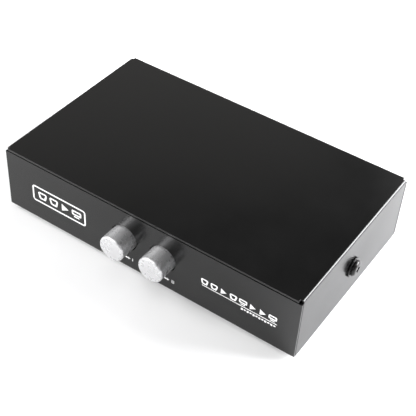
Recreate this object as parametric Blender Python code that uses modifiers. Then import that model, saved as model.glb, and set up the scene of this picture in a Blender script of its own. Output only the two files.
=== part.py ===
"""A manual two-port display switch box.

Two folded steel sheets make the case: the chassis is the bottom, the front and the rear, and the cover
is the top and both sides. On the circuit board inside stand two push switches, whose latch bar lets only
one of them stay pressed, and three 15-pin connectors, which look out through the rear panel.

+X is the right, +Y the rear and +Z up. The origin is under the middle of the object, where it stands.
"""

import math

import bmesh
import bpy

MM = 0.001

# Case
CASE_W = 150.0 * MM
CASE_D = 90.0 * MM
CASE_H = 32.5 * MM
SHEET = 1.0 * MM
BEND_R = 1.6 * MM  # outside of each fold
SEAM = 0.5 * MM  # slot between the cover's top and the panels under it
GAP = 0.3 * MM  # between pieces that touch
AXIS_H = 16.4 * MM  # middle of the buttons and connectors, above the case's underside

# Ears of the chassis, and the screws through the cover's sides into them
EAR_W = 18.0 * MM
EAR_ABOVE_SCREW = 7.0 * MM
EAR_COLLAR_R = 3.4 * MM
EAR_COLLAR_L = 1.6 * MM
SCREW_R = 1.75 * MM
SCREW_L = 7.0 * MM
SCREW_HEAD_R = 3.65 * MM
SCREW_HEAD_H = 1.5 * MM
SCREW_FACE_R = 2.4 * MM
SCREW_RIM = 0.3 * MM
CROWN_STEPS = 5
SCREW_CLEARANCE = 0.3 * MM
RECESS_W = 0.9 * MM
RECESS_L = 3.6 * MM
RECESS_DEPTH = 1.0 * MM
WASHER_R = 4.7 * MM
WASHER_T = 0.6 * MM
SIDE_SCREW_AHEAD = 0.6 * MM  # of the side's middle
SIDE_SCREW_BELOW = 0.5 * MM

# Feet
FOOT_R = 5.0 * MM
FOOT_H = 2.0 * MM
FOOT_INSET = 12.0 * MM
FOOT_CHAMFER = 0.5 * MM

# Buttons, with their switches behind them. Depths are measured back from the front panel's face.
BUTTON_PITCH = 20.0 * MM
TRAVEL = 4.0 * MM
CAP_R = 6.1 * MM
CAP_OUT = 9.1 * MM
CAP_L = 12.1 * MM
CAP_EDGE = 1.0 * MM
CAP_CROWN = 0.25 * MM
CAP_CLEARANCE = 0.5 * MM
SHAFT = 4.0 * MM  # the plunger's square shaft
SHAFT_IN_CAP = 7.0 * MM
STRIP_T = 0.8 * MM  # latch bracket's sheet
BRACKET_W = 54.0 * MM
BRACKET_ABOVE = 6.5 * MM  # above the buttons' axis
BRACKET_EAR = 7.0 * MM
BRACKET_BEHIND = 1.0 * MM  # from a pressed cap to the bracket
LUG_W = 2.0 * MM
LUG_H = 1.5 * MM
LUG_L = 1.6 * MM
BAR_T = 1.0 * MM
BAR_W = 40.0 * MM
BAR_ABOVE = 5.5 * MM
BAR_TRAVEL = 1.0 * MM
SWITCH_W = 12.4 * MM
SWITCH_H = 12.0 * MM
SWITCH_WALL = 1.5 * MM
CAVITY = 7.6 * MM
CARRIAGE_L = 10.0 * MM
CARRIAGE_FROM_LUG = 6.2 * MM
CONTACT_T = 0.5 * MM
CONTACT_ROOM = 1.1 * MM  # under the carriage, for the moving contact
PEG_R = 1.4 * MM
PEG_L = 1.6 * MM
SPRING_R = 2.3 * MM
SPRING_L = 9.5 * MM
SPRING_WIRE_R = 0.25 * MM
SPRING_TURNS = 5.5
LATCH_SPRING_R = 1.4 * MM
LATCH_SPRING_WIRE_R = 0.2 * MM
LATCH_SPRING_TURNS = 5.5

# Circuit board and what holds it
BOARD_FROM_SIDE = 10.0 * MM
BOARD_T = 1.6 * MM
BOARD_FROM_FRONT = 7.6 * MM
BOARD_FROM_REAR = 3.6 * MM
POST_INSET_X = 13.0 * MM  # of the front posts. The rear ones stand between the connectors
POST_INSET_Y = 5.0 * MM
POST_AF = 5.0 * MM  # across the flats
POST_BORE_R = 1.5 * MM
POST_SPIGOT_R = 2.1 * MM
BOARD_SCREW_R = 1.2 * MM
BOARD_SCREW_L = 6.5 * MM
BOARD_SCREW_HEAD_R = 2.7 * MM
BOARD_SCREW_HEAD_H = 1.8 * MM
BOARD_SCREW_FACE_R = 1.6 * MM
BOARD_SCREW_RIM = 1.1 * MM

# Connectors at the rear
PORTS = ("port_out", "port_in_1", "port_in_2")
PORT_PITCH = 40.0 * MM
SOCKET_W = 16.3 * MM  # outside of the D-shaped shell, along its long side
SOCKET_H = 7.9 * MM
SOCKET_CORNER_R = 2.6 * MM
SOCKET_SLANT = math.radians(10)
SOCKET_L = 5.9 * MM
SHELL_T = 0.5 * MM
FLANGE_W = 30.8 * MM
FLANGE_H = 12.5 * MM
FLANGE_T = 0.8 * MM
FLANGE_CORNER_R = 1.0 * MM
CUTOUT_MARGIN = 0.6 * MM
NOSE_RECESS = 0.3 * MM
HOUSING_W = 17.4 * MM
HOUSING_H = 12.0 * MM
HOUSING_L = 10.0 * MM
PIN_COLUMNS = 5
PIN_ROWS = 3
PIN_PITCH = 2.29 * MM
PIN_ROW_PITCH = 1.98 * MM
PIN_HOLE_R = 0.55 * MM
PIN_HOLE_L = 5.0 * MM
JACK_SPACING = 25.0 * MM
JACK_AF = 4.8 * MM
JACK_L = 5.0 * MM
JACK_BORE_R = 1.4 * MM
JACK_BORE_L = 4.0 * MM
STUD_R = 1.35 * MM
STUD_L = 6.4 * MM
STUD_CLEARANCE = 0.35 * MM
NUT_T = 2.4 * MM

SEGMENTS = 24
CORNER_STEPS = 4
CUT_PAST = 2.0 * MM  # how far a cutter runs past the wall that it goes through

# Places that follow
SOCKET_OUT = SOCKET_L - SHEET - GAP
REAR_OUT = max(JACK_L + GAP, SOCKET_OUT)
FRONT = CAP_OUT - (CAP_OUT + CASE_D + REAR_OUT) / 2
REAR = FRONT + CASE_D
BASE = FOOT_H
TOP = BASE + CASE_H
SIDE = CASE_W / 2
AXIS_Z = BASE + AXIS_H
PANEL_TOP = TOP - SHEET - SEAM
SIDE_SCREW_Y = (FRONT + REAR) / 2 - SIDE_SCREW_AHEAD
SIDE_SCREW_Z = BASE + CASE_H / 2 - SIDE_SCREW_BELOW
BUTTON_X = (-BUTTON_PITCH / 2, BUTTON_PITCH / 2)
BOARD_TOP = AXIS_Z - max(SWITCH_H, HOUSING_H) / 2 - GAP
BOARD_W = CASE_W - 2 * BOARD_FROM_SIDE
BOARD_Y = (FRONT + BOARD_FROM_FRONT, REAR - BOARD_FROM_REAR)
BRACKET_Y = FRONT + CAP_L - CAP_OUT + TRAVEL + BRACKET_BEHIND
LUG_Y = BRACKET_Y + STRIP_T + GAP
BAR_Y = LUG_Y + LUG_L + GAP
SWITCH_Y = BAR_Y + BAR_T + GAP
CARRIAGE_Y = LUG_Y + LUG_L + CARRIAGE_FROM_LUG
SPRING_Y = CARRIAGE_Y + CARRIAGE_L + GAP
SWITCH_END = SPRING_Y + SPRING_L + GAP + SWITCH_WALL
FLANGE_Y = REAR - SHEET - GAP - FLANGE_T


def clear_scene():
    for thing in list(bpy.data.objects):
        bpy.data.objects.remove(thing, do_unlink=True)


def new_collection(name):
    made = bpy.data.collections.new(name)
    bpy.context.scene.collection.children.link(made)
    return made


def new_material(name, colour, roughness, metallic=0.0):
    made = bpy.data.materials.new(name)
    made.use_nodes = True
    shader = made.node_tree.nodes["Principled BSDF"]
    shader.inputs["Base Color"].default_value = (*colour, 1.0)
    shader.inputs["Roughness"].default_value = roughness
    shader.inputs["Metallic"].default_value = metallic
    return made


# Rotations that turn a piece's own +Z this way
TOWARDS = {
    "up": (0, 0, 0),
    "down": (math.pi, 0, 0),
    "right": (0, math.pi / 2, 0),
    "left": (0, -math.pi / 2, 0),
    "front": (math.pi / 2, 0, 0),
    "rear": (-math.pi / 2, 0, 0),
}


def add(name, data, finish=None, at=(0, 0, 0), towards="up"):
    made = bpy.data.objects.new(name, data)
    made.location = at
    made.rotation_euler = TOWARDS[towards]
    PARTS.objects.link(made)
    if finish:
        data.materials.append(finish)
    return made


def block(name, x, y, z, finish=None):
    """A box between the two values given for each axis."""
    shape = bmesh.new()
    bmesh.ops.create_cube(shape, size=1.0)
    bmesh.ops.scale(shape, vec=[high - low for low, high in (x, y, z)], verts=shape.verts)
    mesh = bpy.data.meshes.new(name)
    shape.to_mesh(mesh)
    shape.free()
    return add(name, mesh, finish, at=[(low + high) / 2 for low, high in (x, y, z)])


def rod(name, radius, length, at, towards, finish=None, sides=SEGMENTS):
    """A cylinder or a prism that starts at a point and runs one way from it."""
    shape = bmesh.new()
    bmesh.ops.create_cone(
        shape, cap_ends=True, segments=sides, radius1=radius, radius2=radius, depth=length
    )
    bmesh.ops.translate(shape, vec=(0, 0, length / 2), verts=shape.verts)
    mesh = bpy.data.meshes.new(name)
    shape.to_mesh(mesh)
    shape.free()
    mesh.shade_smooth()
    mesh.set_sharp_from_angle(angle=math.radians(40))
    return add(name, mesh, finish, at, towards)


def turned(name, profile, at, towards, finish=None, steps=SEGMENTS, ring=False):
    """A turned piece. The profile is (radius, height) points that run down its outer side."""
    mesh = bpy.data.meshes.new(name)
    edges = [(i, i + 1) for i in range(len(profile) - 1)]
    if ring:
        edges.append((len(profile) - 1, 0))
    mesh.from_pydata([(radius, 0, height) for radius, height in profile], edges, [])
    made = add(name, mesh, finish, at, towards)
    spin = made.modifiers.new("Spin", "SCREW")
    spin.steps = spin.render_steps = steps
    spin.use_merge_vertices = True
    spin.merge_threshold = 1e-6
    return made


def arc(centre, radius, start, end, steps):
    """Points of an arc, with its angles in degrees."""
    angles = [math.radians(start + (end - start) * i / steps) for i in range(steps + 1)]
    return [(centre[0] + radius * math.cos(a), centre[1] + radius * math.sin(a)) for a in angles]


def circle(centre, radius, sides):
    return arc(centre, radius, 0, 360, sides)[:-1]


def rounded(corners, radius, steps=CORNER_STEPS):
    """A convex outline, its corners given anticlockwise, with each corner rounded."""
    points = []
    for i, (x, y) in enumerate(corners):
        before, after = corners[i - 1], corners[(i + 1) % len(corners)]
        heading_in = math.atan2(y - before[1], x - before[0])
        turn = (math.atan2(after[1] - y, after[0] - x) - heading_in) % math.tau
        along = radius * math.tan(turn / 2)
        centre = (
            x - along * math.cos(heading_in) - radius * math.sin(heading_in),
            y - along * math.sin(heading_in) + radius * math.cos(heading_in),
        )
        start = math.degrees(heading_in) - 90
        points += arc(centre, radius, start, start + math.degrees(turn), steps)
    return points


def rectangle(width, low, high, radius):
    half = width / 2
    corners = ((-half, low), (half, low), (half, high), (-half, high))
    return rounded(corners, radius)


def socket_outline(grow):
    """The connector's D, long side up, grown or shrunk all round."""
    half, high = SOCKET_W / 2, SOCKET_H / 2
    lean = SOCKET_H * math.tan(SOCKET_SLANT)
    top = half + grow / math.cos(SOCKET_SLANT) + grow * math.tan(SOCKET_SLANT)
    low = half - lean + grow / math.cos(SOCKET_SLANT) - grow * math.tan(SOCKET_SLANT)
    corners = ((-low, -high - grow), (low, -high - grow), (top, high + grow), (-top, high + grow))
    return rounded(corners, SOCKET_CORNER_R + grow)


def outlined(name, loops, y, at=(0, AXIS_Z), finish=None):
    """A flat piece across Y: loops of (x, z) points about a middle, filled, between two values of y."""
    flat = bpy.data.curves.new(name, "CURVE")
    flat.dimensions = "2D"
    flat.fill_mode = "BOTH"
    flat.extrude = (y[1] - y[0]) / 2
    for loop in loops:
        spline = flat.splines.new("POLY")
        spline.points.add(len(loop) - 1)
        for point, (across, up) in zip(spline.points, loop):
            point.co = (across, up, 0, 1)
        spline.use_cyclic_u = True
    drawn = add(name, flat, at=(at[0], (y[0] + y[1]) / 2, at[1]), towards="front")
    return as_mesh(drawn, finish)


def as_mesh(drawn, finish):
    """The mesh object that takes a curve's place."""
    name = drawn.name
    bpy.context.view_layer.update()
    graph = bpy.context.evaluated_depsgraph_get()
    mesh = bpy.data.meshes.new_from_object(drawn.evaluated_get(graph))
    shape = bmesh.new()
    shape.from_mesh(mesh)
    bmesh.ops.remove_doubles(shape, verts=shape.verts, dist=1e-7)
    bmesh.ops.recalc_face_normals(shape, faces=shape.faces)
    shape.to_mesh(mesh)
    shape.free()
    place = drawn.matrix_world.copy()
    bpy.data.objects.remove(drawn, do_unlink=True)
    made = add(name, mesh, finish)
    made.name = name
    made.matrix_world = place
    return made


def folded(name, section, across, length, finish):
    """A sheet folded along one axis. The section is its outer face, drawn with the outside on its left."""
    mesh = bpy.data.meshes.new(name)
    ends = (-length / 2, length / 2)
    if across == "X":
        points = [(end, a, b) for end in ends for a, b in section]
    else:
        points = [(a, end, b) for end in ends for a, b in section]
    count = len(section)
    mesh.from_pydata(points, [], [(i, i + 1, count + i + 1, count + i) for i in range(count - 1)])
    made = add(name, mesh, finish)
    fold = made.modifiers.new("Fold", "BEVEL")
    fold.width = BEND_R
    fold.segments = 6
    fold.limit_method = "ANGLE"
    thicken = made.modifiers.new("Sheet", "SOLIDIFY")
    thicken.thickness = SHEET
    thicken.offset = -1
    thicken.use_even_offset = True
    return made


def combine(target, tool, operation):
    boolean = target.modifiers.new(tool.name, "BOOLEAN")
    boolean.operation = operation
    boolean.solver = "EXACT"
    boolean.object = tool
    tool.hide_render = True
    tool.display_type = "WIRE"
    PARTS.objects.unlink(tool)
    TOOLS.objects.link(tool)


def cut(target, tool):
    combine(target, tool, "DIFFERENCE")


def join(target, tool):
    combine(target, tool, "UNION")


def attach(parent, *children):
    for child in children:
        child.parent = parent
        child.location = child.location - parent.location


def new_axis(name, at):
    axis = bpy.data.objects.new(name, None)
    axis.location = at
    axis.empty_display_size = CAP_R
    PARTS.objects.link(axis)
    return axis


def spring(name, start, length, towards, radius, wire_radius, turns, finish):
    """A coil of round wire between two flat ends."""
    per_turn = 10
    count = round(turns * per_turn)
    coil = bpy.data.curves.new(name, "CURVE")
    coil.dimensions = "3D"
    coil.bevel_depth = wire_radius
    coil.bevel_resolution = 2
    coil.use_fill_caps = True
    path = coil.splines.new("POLY")
    path.points.add(count)
    rise = length - 2 * wire_radius
    for i, point in enumerate(path.points):
        angle = math.tau * i / per_turn
        height = wire_radius + rise * i / count
        point.co = (radius * math.cos(angle), radius * math.sin(angle), height, 1)
    return add(name, coil, finish, start, towards)


def make_cover():
    section = ((-SIDE, BASE), (-SIDE, TOP), (SIDE, TOP), (SIDE, BASE))
    cover = folded("top_cover", section, "Y", CASE_D, BLACK_PAINT)
    cover.location.y = (FRONT + REAR) / 2
    for side, sign in (("left", -1), ("right", 1)):
        x = sorted((sign * (SIDE - BEND_R), sign * (SIDE + CUT_PAST)))
        z = (BASE - CUT_PAST, TOP + CUT_PAST)
        for end, edge, inward in (("front", FRONT, 1), ("rear", REAR, -1)):
            y = sorted((edge - inward * CUT_PAST, edge + inward * (SHEET + GAP)))
            cut(cover, block(f"{side}_{end}_corner_cut", x, y, z))
        start = (sign * (SIDE - SHEET - CUT_PAST), SIDE_SCREW_Y, SIDE_SCREW_Z)
        length = SHEET + 2 * CUT_PAST
        cut(cover, rod(f"{side}_cover_hole", SCREW_R + 2 * SCREW_CLEARANCE, length, start, side))


def make_chassis():
    section = ((FRONT, PANEL_TOP), (FRONT, BASE), (REAR, BASE), (REAR, PANEL_TOP))
    chassis = folded("chassis", section, "X", CASE_W, BLACK_PAINT)
    for side, sign in (("left", -1), ("right", 1)):
        edge = SIDE - SHEET - GAP
        x = sorted((sign * edge, sign * (SIDE + CUT_PAST)))
        y = (FRONT + SHEET, REAR - SHEET)
        cut(chassis, block(f"{side}_bottom_cut", x, y, (BASE - CUT_PAST, BASE + 2 * BEND_R)))
        face = edge - GAP / 2
        x = sorted((sign * face, sign * (face - SHEET)))
        y = (SIDE_SCREW_Y - EAR_W / 2, SIDE_SCREW_Y + EAR_W / 2)
        ear = block(f"{side}_ear", x, y, (BASE + SHEET / 3, SIDE_SCREW_Z + EAR_ABOVE_SCREW))
        join(chassis, ear)
        inner = sign * (face - SHEET / 2)
        inward = "right" if side == "left" else "left"
        at = (inner, SIDE_SCREW_Y, SIDE_SCREW_Z)
        join(chassis, rod(f"{side}_ear_collar", EAR_COLLAR_R, EAR_COLLAR_L + SHEET / 2, at, inward))
        at = (sign * (SIDE + CUT_PAST), SIDE_SCREW_Y, SIDE_SCREW_Z)
        length = 2 * CUT_PAST + 2 * SHEET + EAR_COLLAR_L + GAP
        cut(chassis, rod(f"{side}_ear_hole", SCREW_R + SCREW_CLEARANCE, length, at, inward))
    through = SHEET + 2 * CUT_PAST
    for number, x in enumerate(BUTTON_X, 1):
        at = (x, FRONT - CUT_PAST, AXIS_Z)
        hole = rod(f"button_hole_{number}", CAP_R + CAP_CLEARANCE, through, at, "rear", sides=40)
        cut(chassis, hole)
    panel = (REAR - SHEET - CUT_PAST, REAR + CUT_PAST)
    for port, x in ports():
        cut(chassis, outlined(f"{port}_cutout", [socket_outline(CUTOUT_MARGIN)], panel, (x, AXIS_Z)))
        for side, jack_x in jack_places(x):
            at = (jack_x, panel[0], AXIS_Z)
            hole = rod(f"{port}_{side}_hole", STUD_R + STUD_CLEARANCE, through, at, "rear", sides=16)
            cut(chassis, hole)
    for place, x, y in post_places():
        at = (x, y, BASE - CUT_PAST)
        hole = rod(f"{place}_post_hole", POST_SPIGOT_R + GAP, through, at, "up", sides=16)
        cut(chassis, hole)


def make_case_screws():
    for side, sign in (("left", -1), ("right", 1)):
        at = (sign * (SIDE + GAP), SIDE_SCREW_Y, SIDE_SCREW_Z)
        bore = SCREW_R + SCREW_CLEARANCE
        ring = ((WASHER_R, WASHER_T), (WASHER_R, 0), (bore, 0), (bore, WASHER_T))
        turned(f"{side}_screw_washer", ring, at, side, BLACK_STEEL, ring=True)
        at = (sign * (SIDE + 2 * GAP + WASHER_T), SIDE_SCREW_Y, SIDE_SCREW_Z)
        profile = [(0, SCREW_HEAD_H), (SCREW_FACE_R, SCREW_HEAD_H)]
        for across, up in arc((0, 0), 1, 90, 0, CROWN_STEPS)[1:]:
            radius = SCREW_FACE_R + (SCREW_HEAD_R - SCREW_FACE_R) * across
            profile.append((radius, SCREW_RIM + (SCREW_HEAD_H - SCREW_RIM) * up))
        profile += [(SCREW_HEAD_R, 0), (SCREW_R, 0), (SCREW_R, -SCREW_L), (0, -SCREW_L)]
        screw = turned(f"{side}_case_screw", profile, at, side, BLACK_STEEL)
        face = at[0] + sign * SCREW_HEAD_H
        x = sorted((face - sign * RECESS_DEPTH, face + sign * CUT_PAST))
        long, wide = RECESS_L / 2, RECESS_W / 2
        for way, half_y, half_z in (("level", long, wide), ("upright", wide, long)):
            y = (SIDE_SCREW_Y - half_y, SIDE_SCREW_Y + half_y)
            z = (SIDE_SCREW_Z - half_z, SIDE_SCREW_Z + half_z)
            cut(screw, block(f"{side}_recess_{way}", x, y, z))


def make_feet():
    high = FOOT_H - GAP
    profile = (
        (0, high),
        (FOOT_R, high),
        (FOOT_R, FOOT_CHAMFER),
        (FOOT_R - FOOT_CHAMFER, 0),
        (0, 0),
    )
    for end, y in (("front", FRONT + FOOT_INSET), ("rear", REAR - FOOT_INSET)):
        for side, x in (("left", FOOT_INSET - SIDE), ("right", SIDE - FOOT_INSET)):
            turned(f"{end}_{side}_foot", profile, (x, y, 0), "up", RUBBER)


def post_places():
    """Where the four posts under the circuit board stand."""
    front = BOARD_W / 2 - POST_INSET_X, BOARD_Y[0] + POST_INSET_Y
    rear = PORT_PITCH / 2, BOARD_Y[1] - POST_INSET_Y
    for end, (x, y) in (("front", front), ("rear", rear)):
        for side, sign in (("left", -1), ("right", 1)):
            yield f"{end}_{side}", sign * x, y


def make_board():
    z = (BOARD_TOP - BOARD_T, BOARD_TOP)
    board = block("circuit_board", (-BOARD_W / 2, BOARD_W / 2), BOARD_Y, z, BOARD_GREEN)
    shoulder = BASE + SHEET + GAP
    height = z[0] - GAP - shoulder
    for place, x, y in post_places():
        at = (x, y, z[0] - CUT_PAST)
        hole = rod(f"{place}_board_hole", POST_BORE_R + GAP, BOARD_T + 2 * CUT_PAST, at, "up", sides=16)
        cut(board, hole)
        corner_r = POST_AF / math.sqrt(3)
        at = (x, y, shoulder)
        post = rod(f"{place}_board_post", corner_r, height, at, "up", BRASS, sides=6)
        spigot = shoulder - BASE
        at = (x, y, BASE)
        join(post, rod(f"{place}_spigot", POST_SPIGOT_R, spigot + GAP, at, "up", sides=16))
        at = (x, y, BASE - CUT_PAST)
        bore = rod(f"{place}_bore", POST_BORE_R, height + spigot + 2 * CUT_PAST, at, "up", sides=16)
        cut(post, bore)
        profile = (
            (0, BOARD_SCREW_HEAD_H),
            (BOARD_SCREW_FACE_R, BOARD_SCREW_HEAD_H),
            (BOARD_SCREW_HEAD_R, BOARD_SCREW_RIM),
            (BOARD_SCREW_HEAD_R, 0),
            (BOARD_SCREW_R, 0),
            (BOARD_SCREW_R, -BOARD_SCREW_L),
            (0, -BOARD_SCREW_L),
        )
        turned(f"{place}_board_screw", profile, (x, y, BOARD_TOP + GAP), "up", STEEL, steps=16)


def make_button(number, x):
    axis = new_axis(f"button_{number}_axis", (x, FRONT, AXIS_Z))
    face = FRONT - CAP_OUT
    flat = CAP_R - CAP_EDGE
    crown_r = (flat**2 + CAP_CROWN**2) / (2 * CAP_CROWN)
    lean = math.degrees(math.asin(flat / crown_r))
    crown = arc((0, CAP_L - crown_r), crown_r, 90, 90 - lean, CROWN_STEPS)[:-1]
    edge = arc((flat, CAP_L - CAP_CROWN - CAP_EDGE), CAP_EDGE, 90, 0, CROWN_STEPS)
    profile = [(0, CAP_L), *crown[1:], *edge, (CAP_R, 0), (0, 0)]
    cap = turned(
        f"button_cap_{number}", profile, (x, face + CAP_L, AXIS_Z), "front", SILVER, steps=40
    )
    half = SHAFT / 2 + GAP
    z = (AXIS_Z - half, AXIS_Z + half)
    socket = (face + CAP_L - SHAFT_IN_CAP - GAP, face + CAP_L + CUT_PAST)
    cut(cap, block(f"cap_socket_{number}", (x - half, x + half), socket, z))

    half = SHAFT / 2
    z = (AXIS_Z - half, AXIS_Z + half)
    start = face + CAP_L - SHAFT_IN_CAP
    plunger = block(
        f"plunger_{number}", (x - half, x + half), (start, CARRIAGE_Y + half), z, WHITE_PLASTIC
    )
    z = (AXIS_Z, AXIS_Z + half + LUG_H)
    lug = block(f"lug_{number}", (x - LUG_W / 2, x + LUG_W / 2), (LUG_Y, LUG_Y + LUG_L), z)
    join(plunger, lug)
    half = CAVITY / 2 - GAP
    low = AXIS_Z - half + CONTACT_ROOM
    y = (CARRIAGE_Y, CARRIAGE_Y + CARRIAGE_L)
    join(plunger, block(f"carriage_{number}", (x - half, x + half), y, (low, AXIS_Z + half)))
    at = (x, CARRIAGE_Y + CARRIAGE_L - CONTACT_ROOM, AXIS_Z)
    join(plunger, rod(f"peg_{number}", PEG_R, PEG_L + CONTACT_ROOM, at, "rear", sides=16))

    z = (low - GAP - CONTACT_T, low - GAP)
    contact = block(f"moving_contact_{number}", (x - half, x + half), y, z, BRONZE)
    attach(axis, cap, plunger, contact)

    half = SWITCH_W / 2
    z = (BOARD_TOP + GAP, AXIS_Z + SWITCH_H / 2)
    y = (SWITCH_Y, SWITCH_END)
    switch = block(f"switch_body_{number}", (x - half, x + half), y, z, BLACK_PLASTIC)
    half = CAVITY / 2
    z = (AXIS_Z - half, AXIS_Z + half)
    y = (SWITCH_Y - CUT_PAST, SWITCH_END - SWITCH_WALL)
    cut(switch, block(f"switch_cavity_{number}", (x - half, x + half), y, z))

    spring(
        f"return_spring_{number}",
        (x, SPRING_Y, AXIS_Z),
        SPRING_L,
        "rear",
        SPRING_R,
        SPRING_WIRE_R,
        SPRING_TURNS,
        STEEL,
    )


def make_latch():
    """The bracket in front of the switches, and the sprung bar that slides behind it."""
    foot = BOARD_TOP + GAP
    half = BRACKET_W / 2
    ear = BRACKET_Y + BRACKET_EAR
    y = (BRACKET_Y, ear)
    z = (foot, AXIS_Z + BRACKET_ABOVE)
    bracket = block("latch_bracket", (-half, half), y, z, STEEL)
    inside = (BRACKET_Y + STRIP_T, ear + CUT_PAST)
    hollow = (foot - CUT_PAST, z[1] + CUT_PAST)
    cut(bracket, block("bracket_inside", (STRIP_T - half, half - STRIP_T), inside, hollow))

    bar_half = BAR_W / 2
    y = (BAR_Y, BAR_Y + BAR_T)
    bar = block("latch_bar", (-bar_half, bar_half), y, (foot, AXIS_Z + BAR_ABOVE), STEEL)

    window = SHAFT / 2 + GAP
    shaft_z = (AXIS_Z - window, AXIS_Z + window)
    lug_z = (AXIS_Z, AXIS_Z + SHAFT / 2 + LUG_H + GAP)
    lug_half = LUG_W / 2 + GAP
    bar_through = (BAR_Y - CUT_PAST, BAR_Y + BAR_T + CUT_PAST)
    bracket_through = (BRACKET_Y - CUT_PAST, BRACKET_Y + STRIP_T + CUT_PAST)
    for number, x in enumerate(BUTTON_X, 1):
        sides = (x - window, x + window)
        cut(bracket, block(f"bracket_window_{number}", sides, bracket_through, shaft_z))
        sides = (x - window - BAR_TRAVEL, x + window)
        cut(bar, block(f"shaft_window_{number}", sides, bar_through, shaft_z))
        sides = (x - lug_half - BAR_TRAVEL, x + lug_half)
        cut(bar, block(f"lug_window_{number}", sides, bar_through, lug_z))

    start = (bar_half + GAP, BAR_Y + BAR_T / 2, AXIS_Z)
    length = half - STRIP_T - bar_half - 2 * GAP
    spring(
        "latch_spring",
        start,
        length,
        "right",
        LATCH_SPRING_R,
        LATCH_SPRING_WIRE_R,
        LATCH_SPRING_TURNS,
        STEEL,
    )


def ports():
    for i, port in enumerate(PORTS):
        yield port, (i - (len(PORTS) - 1) / 2) * PORT_PITCH


def jack_places(x):
    return (("left", x - JACK_SPACING / 2), ("right", x + JACK_SPACING / 2))


def make_port(port, x):
    holes = [circle((jack_x - x, 0), STUD_R + STUD_CLEARANCE, 16) for _, jack_x in jack_places(x)]
    flange = rectangle(FLANGE_W, -FLANGE_H / 2, FLANGE_H / 2, FLANGE_CORNER_R)
    inner = socket_outline(-SHELL_T)
    at = (x, AXIS_Z)

    y = (FLANGE_Y, FLANGE_Y + FLANGE_T)
    shell = outlined(f"{port}_shell", [flange, inner, *holes], y, at, NICKEL)
    y = (FLANGE_Y + FLANGE_T / 2, FLANGE_Y + FLANGE_T + SOCKET_L)
    join(shell, outlined(f"{port}_socket", [socket_outline(0), inner], y, at))

    pins = []
    for row in range(PIN_ROWS):
        shift = PIN_PITCH / 4 * (1 if row % 2 else -1)
        up = ((PIN_ROWS - 1) / 2 - row) * PIN_ROW_PITCH
        for column in range(PIN_COLUMNS):
            across = (column - (PIN_COLUMNS - 1) / 2) * PIN_PITCH + shift
            pins.append(circle((across, up), PIN_HOLE_R, 8))
    half = HOUSING_W / 2
    y = (FLANGE_Y - GAP - HOUSING_L, FLANGE_Y - GAP)
    low, high = BOARD_TOP + GAP - AXIS_Z, HOUSING_H / 2
    z = (AXIS_Z + low, AXIS_Z + high)
    insulator = block(f"{port}_insulator", (x - half, x + half), y, z, PORT_BLUE)
    face = FLANGE_Y + FLANGE_T + SOCKET_L - NOSE_RECESS
    nose = socket_outline(-SHELL_T - GAP)
    join(insulator, outlined(f"{port}_nose", [nose], (FLANGE_Y - 2 * GAP, face), at))
    cut(insulator, outlined(f"{port}_pin_holes", pins, (face - PIN_HOLE_L, face + CUT_PAST), at))

    strap_y = (FLANGE_Y - GAP - FLANGE_T, FLANGE_Y - GAP)
    strap = rectangle(FLANGE_W, low - SHEET, high + SHEET, FLANGE_CORNER_R)
    window = rectangle(HOUSING_W + 2 * GAP, low - GAP, high + GAP, GAP)
    outlined(f"{port}_back_strap", [strap, window, *holes], strap_y, at, NICKEL)

    nut_y = strap_y[0] - GAP
    for side, jack_x in jack_places(x):
        corner_r = JACK_AF / math.sqrt(3)
        nut = rod(
            f"{port}_{side}_nut", corner_r, NUT_T, (jack_x, nut_y, AXIS_Z), "front", NICKEL, sides=6
        )
        at = (jack_x, nut_y - NUT_T - CUT_PAST, AXIS_Z)
        bore = STUD_R + GAP
        cut(nut, rod(f"{port}_{side}_nut_bore", bore, NUT_T + 2 * CUT_PAST, at, "rear", sides=12))
        at = (jack_x, REAR + GAP, AXIS_Z)
        jack = rod(f"{port}_{side}_jackscrew", corner_r, JACK_L, at, "rear", NICKEL, sides=6)
        at = (jack_x, REAR + GAP + SHEET, AXIS_Z)
        join(jack, rod(f"{port}_{side}_stud", STUD_R, STUD_L + SHEET, at, "front", sides=12))
        at = (jack_x, REAR + GAP + JACK_L - JACK_BORE_L, AXIS_Z)
        length = JACK_BORE_L + CUT_PAST
        cut(jack, rod(f"{port}_{side}_jack_bore", JACK_BORE_R, length, at, "rear", sides=12))


clear_scene()
PARTS = new_collection("display_switch_box")
TOOLS = new_collection("cutters")

BLACK_PAINT = new_material("black_paint", (0.012, 0.012, 0.013), 0.32)
BLACK_STEEL = new_material("black_steel", (0.015, 0.015, 0.016), 0.3, 0.6)
SILVER = new_material("silver_plating", (0.72, 0.72, 0.72), 0.28, 0.9)
STEEL = new_material("bare_steel", (0.55, 0.55, 0.54), 0.35, 1.0)
NICKEL = new_material("nickel_plating", (0.62, 0.6, 0.56), 0.25, 1.0)
BRASS = new_material("brass", (0.7, 0.5, 0.2), 0.35, 1.0)
BRONZE = new_material("bronze", (0.6, 0.36, 0.2), 0.35, 1.0)
RUBBER = new_material("rubber", (0.02, 0.02, 0.02), 0.8)
BOARD_GREEN = new_material("circuit_board_green", (0.02, 0.12, 0.05), 0.4)
WHITE_PLASTIC = new_material("white_plastic", (0.75, 0.75, 0.72), 0.45)
BLACK_PLASTIC = new_material("black_plastic", (0.02, 0.02, 0.02), 0.5)
PORT_BLUE = new_material("connector_blue", (0.02, 0.06, 0.3), 0.45)

make_cover()
make_chassis()
make_case_screws()
make_feet()
make_board()
for button_number, button_x in enumerate(BUTTON_X, 1):
    make_button(button_number, button_x)
make_latch()
for port_name, port_x in ports():
    make_port(port_name, port_x)
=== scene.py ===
"""The looks of the display switch box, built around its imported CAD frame.

Both folded sheets, the button caps, the case screws and their washers, the feet, the connectors, their
jackscrews and the springs are modelled again, more finely than the CAD solids that they stand for. The
other CAD pieces stay and get their own materials.
Lengths are in metres, in the frame's axes: +X right, +Y rear, +Z up.
"""

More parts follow.
